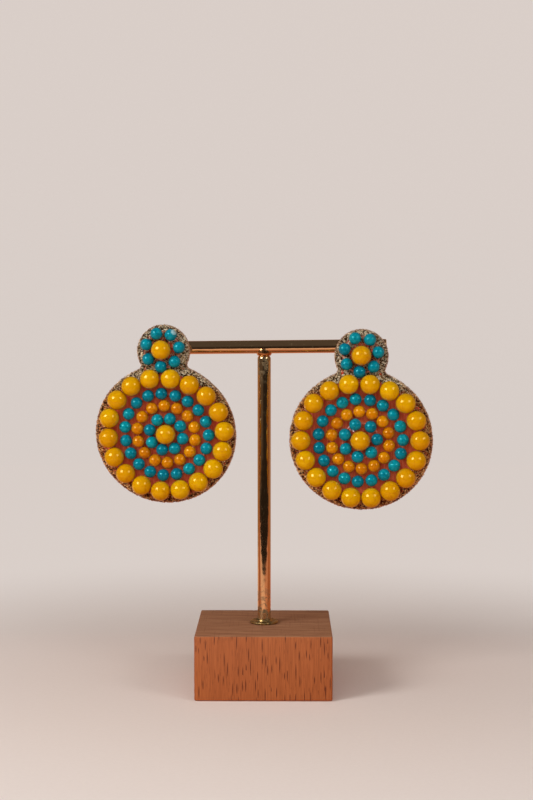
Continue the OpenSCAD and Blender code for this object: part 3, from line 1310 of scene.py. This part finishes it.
@dataclass(frozen=True)
class BeadRing:
    """Beads of one kind in a closed ring, as the CAD places them, in the earring's own frame."""

    middles: list[Vector]
    bead: DrilledBead

    @classmethod
    def found(cls, nodes: Iterable[str], bead: DrilledBead, where: Matrix) -> "BeadRing":
        """Reads a ring from its CAD nodes.

        Args:
            nodes: Names of the nodes.
            bead: Kind of bead.
            where: The earring's frame.

        Returns:
            The ring, with its beads in order round its middle.
        """
        back = where.inverted()
        middles = [back @ spot for node in nodes for spot in solid_middles(node)]
        mean = sum(middles, Vector()) / len(middles)
        return cls(sorted(middles, key=lambda p: atan2(p.y - mean.y, p.x - mean.x)), bead)

    def heading(self, number: int) -> Vector:
        """The way through a bead, along its two neighbours.

        Args:
            number: The bead's place in the ring.

        Returns:
            The direction.
        """
        count = len(self.middles)
        if count == 1:
            return Vector((1, 0, 0))
        return (self.middles[(number + 1) % count] - self.middles[number - 1]).normalized()

    def headings(self) -> list[Vector]:
        """The way through each bead."""
        return [self.heading(number) for number in range(len(self.middles))]

    def thread(self, seat: float) -> list[Vector]:
        """The thread's path through the beads, along each bead's heading.

        Args:
            seat: Height of the cloth, which the thread of a lone bead goes down to.

        Returns:
            The points of the path.
        """
        path, share = [], 0.46
        for middle, heading in zip(self.middles, self.headings()):
            reach = heading * self.bead.diameter * share
            path += [middle - reach, middle, middle + reach]
        if len(self.middles) == 1:
            drop, side = Vector((0, 0, path[0].z - seat)), Vector((0.35, 0, 0))
            path = [path[0] - side - drop, path[0] - side - drop / 3, *path,
                    path[-1] + side - drop / 3, path[-1] + side - drop]
        return path

    def gaps(self) -> list[tuple[Vector, Vector]]:
        """The middle of each gap between neighbours, and the way across it."""
        pairs = zip(self.middles, self.middles[1:] + self.middles[:1])
        return [((a + b) / 2, (b - a).normalized()) for a, b in pairs] * (len(self.middles) > 1)


@dataclass(frozen=True)
class Darning:
    """Places of the short stitches that cover the cloth of the small disc and the neck."""

    inset: float = 1.3
    step: float = 0.46
    disc_radius: float = 24.8
    neck: float = -13.5
    neck_bare: float = 0.55
    ring_radius: float = 5.6
    ring_bare: float = 0.8
    clear: tuple[tuple[str, float], ...] = (("top_teal", 1.2), ("top_bead", 2.3), ("rim", 2.3))

    def places(self, outline: Outline, rings: dict[str, BeadRing], seat: float,
               draw: np.random.Generator) -> list[tuple[float, float, float]]:
        """Draws the places, away from the beads and with some cloth left bare.

        Args:
            outline: The earring's outline.
            rings: Its beads.
            seat: Height of the cloth.
            draw: Source of the random values.

        Returns:
            The places.
        """
        seats = [(spot, clear) for name, clear in self.clear for spot in rings[name].middles]
        middle = rings["top_bead"].middles[0]
        places = []
        for x, y in outline.filling(self.inset, self.step):
            bare = self.ring_bare if hypot(x - middle.x, y - middle.y) < self.ring_radius else 0.0
            if y < self.neck:
                bare = self.neck_bare
            if (hypot(x, y + outline.spacing) > self.disc_radius and draw.uniform() > bare
                    and all(hypot(x - spot.x, y - spot.y) > clear for spot, clear in seats)):
                places.append((x, y, seat + draw.uniform(0.02, 0.16)))
        return places


@dataclass
class Earring:
    """One earring: cloth, stitched edge, beads, their thread and the ear post."""

    side: Side
    box: SewingBox
    stand: Stand
    outline: Outline
    pin: tuple[float, float]
    lean: float
    seed: int
    chip: Vector | None = None
    curls: Sequence[Sequence[tuple[float, float, float]]] = ()
    back_offset: float = 3.3
    cloth_inset: float = 0.35
    cloth_margin: float = 1.4
    cloth_step: float = 0.72
    cut_edge: float = 0.3
    rim_beads: int = 18

    # First draws of the rings, the darning, the couching and the rim, after the earring's seed
    RING_DRAW, DARNING_DRAW, COUCHING_DRAW, RIM_DRAW = 10, 30, 50, 100

    def __post_init__(self) -> None:
        """Works out the earring's frame and finds its beads."""
        sign = -1 if self.side is Side.LEFT else 1
        self.where = (self.stand.bar_frame()
                      @ moved(sign * self.stand.pin_spacing / 2, -self.back_offset, 0)
                      @ turned(QUARTER, "X") @ turned(radians(self.lean), "Z")
                      @ moved(-self.pin[0], -self.pin[1], 0))
        self.rim_nodes = [f"rim_bead_{k + 1:02}" for k in range(self.rim_beads)]
        finds = {"rim": (self.rim_nodes, BIG_BEAD)}
        for bead, names in ((SMALL_BEAD, ("teal_outer", "orange_ring", "teal_inner", "top_teal")),
                            (BIG_BEAD, ("centre_bead", "top_bead"))):
            finds |= {name: ([name], bead) for name in names}
        self.rings = {name: BeadRing.found(map(self.node, nodes), bead, self.where)
                      for name, (nodes, bead) in finds.items()}

    def node(self, name: str) -> str:
        """The CAD node of that name on this side."""
        return f"{self.side.value}_{name}"

    def cloth(self) -> Mesh:
        """The cloth body, drawn down a little where the needle went through.

        Returns:
            Its mesh.
        """
        thick, cut, dip_depth, dip_radius = self.box.seat, self.cut_edge, 0.15, 0.6
        edge, outward = self.outline.loop(self.cloth_inset)
        rim = edge - outward * cut
        count = len(rim)
        flat, _, triangles, *_ = delaunay_2d_cdt(
            [Vector(p) for p in (*rim, *self.outline.filling(self.cloth_margin, self.cloth_step))],
            [], [list(range(count))], 1, 1e-5)
        flat = np.array(flat)
        holes = np.array([spot.xy for ring in self.rings.values() for spot, _ in ring.gaps()])
        away = np.linalg.norm(flat[:, None] - holes[None], axis=2).min(axis=1)
        sunk = dip_depth * np.exp(-(away / dip_radius) ** 2)
        sunk[:count] = 0
        front = [(x, y, thick - dip) for (x, y), dip in zip(flat, sunk)]
        back = [(x, y, 0.0) for x, y in flat]
        rows = [(-0.1, thick - 0.08), (0, thick - cut), (0, cut), (-0.1, 0.08)]
        walls = [(*(spot + way * out), height) for out, height in rows
                 for spot, way in zip(edge, outward)]
        total = len(flat)
        starts = [0, *(2 * total + count * k for k in range(len(rows))), total]
        faces = [list(t) for t in triangles] + [[k + total for k in reversed(t)] for t in triangles]
        faces += [[high + k, low + k, low + (k + 1) % count, high + (k + 1) % count]
                  for high, low in zip(starts, starts[1:]) for k in range(count)]
        mesh = built("cloth", front + back + walls, faces, crease=60)
        return noted(mesh, LAY, [point.co for point in mesh.vertices])

    def edge_stitches(self) -> Mesh:
        """The padded edge with its close overcast stitches and the stray ones over them.

        Returns:
            Its mesh.
        """
        edge, outward = self.outline.loop(0.0)
        section = [(-1.75, 2.02), (-0.5, 2.1), (-0.24, 1.9), (-0.2, 1.0), (-0.24, 0.1),
                   (-0.5, -0.1), (-1.6, -0.06), (-1.6, -0.01), (-0.5, -0.01), (-0.32, 0.2),
                   (-0.32, 1.8), (-0.5, 1.98), (-1.75, 1.95)]
        padding = outward_faces(skinned(
            "padding", [[(*(spot + way * out), height) for out, height in section]
                        for spot, way in zip(edge, outward)], looped=True, crease=80))
        for name in (TONE, ALONG, AROUND):
            noted(padding, name, np.zeros(len(padding.vertices)))
        layers = [padding]
        for number, (pattern, pitch, slant, spread, jitter) in enumerate((
                ("overcast", 0.33, 0.12, 0.34, 0.12), ("cross", 0.5, 0.6, 0.4, 0.2),
                ("cross", 0.55, -0.6, 0.4, 0.2))):
            line = built("edge_line", [(x, y, 0) for x, y in edge],
                         edges=[(k, (k + 1) % len(edge)) for k in range(len(edge))])
            noted(line, OUTWARD, [(x, y, 0) for x, y in outward])
            layers.append(self.box.stitcher.run(
                line, pattern=self.box.patterns[pattern], finish=self.box.metal_thread, pitch=pitch,
                slant=slant, spread=spread, jitter=jitter, patch=0.6, unevenness=0.1,
                seed=self.seed + number))
        return joined("edge_stitches", [*layers, self.darning()])

    def darning(self) -> Mesh:
        """Stitches every way that cover the cloth round the small disc's beads and in the neck.

        Returns:
            Its mesh.
        """
        draw = np.random.default_rng(self.seed)
        places = Darning().places(self.outline, self.rings, self.box.seat, draw)
        turns = draw.uniform(0, TURN, len(places))
        points = noted(built("darning_places", places), HEADING,
                       [(cos(t), sin(t), 0) for t in turns])
        return self.box.setter.run(
            points, pattern=self.box.patterns["darning"], finish=self.box.metal_thread, spin=0.3,
            patch=0.6, unevenness=0.1, seed=self.seed + self.DARNING_DRAW)

    def beads(self, bead: DrilledBead, middles: Sequence[Vector], headings: Sequence[Vector],
              glaze: Material, draw: int) -> Mesh:
        """Sets beads of one kind on the cloth, each along its heading, by a draw of their own.

        Args:
            bead: Kind of bead.
            middles: Their middles.
            headings: The way through each.
            glaze: Their finish.
            draw: Their draw of small differences, after the earring's seed.

        Returns:
            The beads as one mesh.
        """
        points = noted(built("bead_places", middles), HEADING, headings)
        return self.box.setter.run(points, pattern=self.box.patterns[bead.name], finish=glaze,
                                   spin=pi, patch=bead.patch, unevenness=0.035,
                                   seed=self.seed + draw)

    def thread(self) -> Mesh:
        """The strung thread, the stitches that hold it down, and the loose curls.

        Returns:
            Its mesh.
        """
        box, points, edges = self.box, [], []
        paths = [(ring.thread(box.seat), len(ring.middles) > 1) for ring in self.rings.values()]
        paths += [([Vector(p) for p in curl], False) for curl in self.curls]
        for path, closed in paths:
            start = len(points)
            points += path
            edges += [(k, k + 1) for k in range(start, len(points) - 1)]
            if closed:
                edges.append((len(points) - 1, start))
        parts = [box.stringer.run(
            built("thread_line", points, edges=edges), finish=box.bead_thread,
            radius=box.thread_radius, pitch=0.35, patch=0.5, unevenness=0.03)]
        for number, bead in enumerate((SMALL_BEAD, BIG_BEAD)):
            gaps = [gap for ring in self.rings.values() if ring.bead is bead for gap in ring.gaps()]
            spots = noted(built("gap_places", [spot for spot, _ in gaps]), HEADING,
                          [way for _, way in gaps])
            parts.append(box.setter.run(
                spots, pattern=box.patterns[f"{bead.name}_couching"], finish=box.bead_thread,
                spin=0.2, patch=0.5, unevenness=0.03, seed=self.seed + self.COUCHING_DRAW + number))
        return joined("thread", parts)

    def ear_post(self) -> Mesh:
        """The glued pad and its pin, with the notch that holds a clutch.

        Returns:
            Its mesh.
        """
        mesh = lathed("ear_post", [(0, 0), (3.85, 0), (4.0, 0.12), (4.0, 0.38), (3.85, 0.5),
                                   (0.56, 0.5), (0.45, 0.6), (0.45, 3.0), (0.45, 6.0), (0.45, 8.6),
                                   (0.34, 8.8), (0.34, 9.1), (0.45, 9.3), (0.45, 10.1),
                                   (0.36, 10.38), (0.18, 10.49), (0, 10.5)], 48)
        mesh.transform(moved(*self.pin, -FIT) @ turned(pi, "X"))
        return mesh

    def dress(self) -> None:
        """Builds and finishes the earring's pieces."""
        box, rim = self.box, self.rings["rim"]
        self.place("cloth", self.cloth(), box.cloth, Slot.CLOTH, "base")
        self.place("metallic_edge", self.edge_stitches(), box.metal_thread, Slot.METAL_THREAD,
                   "edge_stitching")
        for number, node in enumerate(self.rim_nodes):
            spot = self.where.inverted() @ solid_middles(self.node(node))[0]
            order = min(range(len(rim.middles)), key=lambda k: (rim.middles[k] - spot).length)
            bead = self.beads(rim.bead, [spot], [rim.heading(order)], box.yellow,
                              self.RIM_DRAW + number)
            self.place(f"rim_glass_{number + 1:02}", bead, box.yellow, Slot.YELLOW, node)
        top_teal = box.teal
        if self.chip:
            top_teal = replace(TEAL_GLAZE, name="chipped_teal_glaze",
                               chip=self.where @ self.chip).made()
        for number, (name, glaze, slot) in enumerate((
                ("teal_outer", box.teal, Slot.TEAL), ("orange_ring", box.orange, Slot.ORANGE),
                ("teal_inner", box.teal, Slot.TEAL), ("top_teal", top_teal, Slot.TEAL),
                ("centre_bead", box.yellow, Slot.YELLOW), ("top_bead", box.yellow, Slot.YELLOW))):
            ring = self.rings[name]
            beads = self.beads(ring.bead, ring.middles, ring.headings(), glaze,
                               self.RING_DRAW + number)
            self.place(f"{name}_glass", beads, glaze, slot, name)
        thread = box.bead_thread
        if self.curls:
            thread = BeadThread(self.where @ Vector(self.curls[0][2])).made()
        self.place("strung_thread", self.thread(), thread, Slot.CLEAR_THREAD, "bead_thread")
        self.place("steel_post", self.ear_post(), box.steel, Slot.STEEL, "ear_post")

    def place(self, name: str, mesh: Mesh, finish: Material, slot: Slot, node: str) -> None:
        """Places a piece of this earring that stands for one of its nodes."""
        place_piece(self.node(name), mesh, self.where, finish, slot, self.node(node))


# The studio


@dataclass(frozen=True)
class Softbox:
    """A square soft light that points at the earrings, with its distance and size in metres."""

    name: str
    direction: tuple[float, float, float]
    distance: float
    size: float
    power: float
    mirrored: bool = True
    colour: tuple[float, float, float] = (1.0, 0.985, 0.96)

    def hang(self, target: Vector) -> None:
        """Hangs the light in its direction from the target.

        Args:
            target: The place that it points at.
        """
        light = bpy.data.lights.new(self.name, "AREA")
        light.size, light.energy, light.color = self.size, self.power, self.colour
        lamp = linked(self.name, light)
        way = Vector(self.direction).normalized()
        lamp.location = target + way * self.distance
        lamp.rotation_euler = way.to_track_quat("Z", "Y").to_euler()
        lamp.visible_camera = False
        lamp.visible_glossy = self.mirrored


@dataclass(frozen=True)
class Studio:
    """Pale paper floor and sweep, soft lights and the camera of the photograph.

    The target of the lights and the corners of the mirrored table are in metres.
    """

    target: tuple[float, float, float] = (0.0, 0.0, 0.11)
    paper_radius: float = 950.0
    paper_bend: float = 300.0
    paper_thickness: float = 7.7
    paper_drop: float = 0.3
    wall_height: float = 1300.0
    roof_height: float = 1900.0
    camera_place: tuple[float, float, float] = (7.6, -634.3, 154.3)
    camera_pitch: float = 3.31
    camera_yaw: float = 0.60
    lens: float = 70.0

    def paper(self) -> list[Mesh]:
        """The floor and the sweep behind and above it, in metres.

        Returns:
            The two meshes.
        """
        radius, bend, top = self.paper_radius, self.paper_bend, -self.paper_drop
        bottom, overlap = top - self.paper_thickness, 2
        floor = lathed("paper_floor", [(0, bottom), (radius, bottom), (radius, top), (0, top)], 96)
        sweep = lathed("paper_sweep", [(radius - overlap, top),
                                       *arc(radius, bend, bend, -QUARTER, 0, 16),
                                       (radius + bend, self.wall_height), (0, self.roof_height)],
                       96, crease=80)
        sweep.flip_normals()
        for mesh in (floor, sweep):
            mesh.transform(Matrix.Scale(MM, 4))
        return [floor, sweep]

    def set_up(self) -> None:
        """Builds the stage, the lights, the sky and the camera."""
        for mesh in self.paper():
            mesh.materials.append(PaperFinish(mesh.name).made())
            sheet = linked(mesh.name, mesh)
            sheet.visible_glossy = sheet.visible_diffuse = False
            sheet.visible_shadow = mesh.name == "paper_floor"
        left, right, near, far, height = -0.6, 0.6, -0.9, 0.1, -0.0002
        mirrored = built("mirrored_table", [(left, near, height), (right, near, height),
                                            (right, far, height), (left, far, height)],
                         [(0, 1, 2, 3)])
        mirrored.materials.append(MirroredTable().made())
        sheet = linked(mirrored.name, mirrored)
        sheet.visible_camera = sheet.visible_diffuse = sheet.visible_shadow = False
        for softbox in (
                Softbox("key_light", (-0.683, -0.590, 0.435), distance=0.80, size=0.33, power=4.25),
                Softbox("fill_light", (0.667, -0.600, 0.437), distance=0.80, size=0.28, power=1.3),
                Softbox("front_bounce", (0.0, -0.95, 0.32), distance=1.2, size=1.3, power=10.5,
                        mirrored=False)):
            softbox.hang(Vector(self.target))
        self.sky()
        self.camera()

    def sky(self) -> None:
        """Surroundings that the brass mirrors: dim in front, pale behind and above."""
        world = bpy.data.worlds.new("studio")
        bpy.context.scene.world = world
        world.use_nodes = True
        bench = Bench(world.node_tree)
        x, y, z = bench.parts(bench.signal("ShaderNodeTexCoord", {}, output="Generated"))
        low = bench.blend(bench.step(x, -0.1, -0.6), paint(46, 38, 34), paint(92, 76, 66))
        room = bench.blend(bench.step(z, -0.05, 0.35), low, paint(88, 78, 74))
        behind = bench.step(y, -0.22, 0.1) * bench.step(z, 0.7, 0.4)
        near = bench.blend(bench.step(x, 0.35, -0.6), paint(206, 134, 108), paint(248, 196, 168))
        colour = bench.blend(behind, room, paint(172, 124, 88))
        colour = bench.blend(bench.step(z, -0.138, -0.178), colour, near)
        bench.feed(world.node_tree.nodes["Background"].inputs["Color"], colour)

    def camera(self) -> None:
        """The camera at the photograph's angle."""
        data = bpy.data.cameras.new("photo_camera")
        data.sensor_fit, data.sensor_width, data.lens = "AUTO", 36.0, self.lens
        camera = linked("photo_camera", data)
        camera.location = Vector(self.camera_place) * MM
        camera.rotation_euler = (radians(90 - self.camera_pitch), 0, radians(self.camera_yaw))
        bpy.context.scene.camera = camera


def main() -> None:
    """Builds the stand, the two earrings and the studio, in that order."""
    logging.basicConfig(level=logging.INFO, format="%(name)s: %(message)s", stream=sys.stdout)
    stand = Stand()
    stand.dress()
    box = SewingBox()
    Earring(Side.LEFT, box, stand, Outline(bulge=0.5, bulge_axis=-20), pin=(0.5, 1.3), lean=0.6,
            seed=1000, chip=Vector((5.38, 8.1, 6.0))).dress()
    Earring(Side.RIGHT, box, stand, Outline(bulge=0.3, bulge_axis=-5), pin=(0.3, 4.0), lean=-1.0,
            seed=2000, curls=[[(-4.3, -27.2, 2.0), (-3.95, -27.9, 3.6), (-3.3, -29.0, 5.0),
                               (-2.7, -30.1, 6.0), (-2.5, -30.6, 6.3)]]).dress()
    box.put_away()
    Studio().set_up()
    bpy.context.scene.view_settings.view_transform = "Standard"


if __name__ == "__main__":
    main()
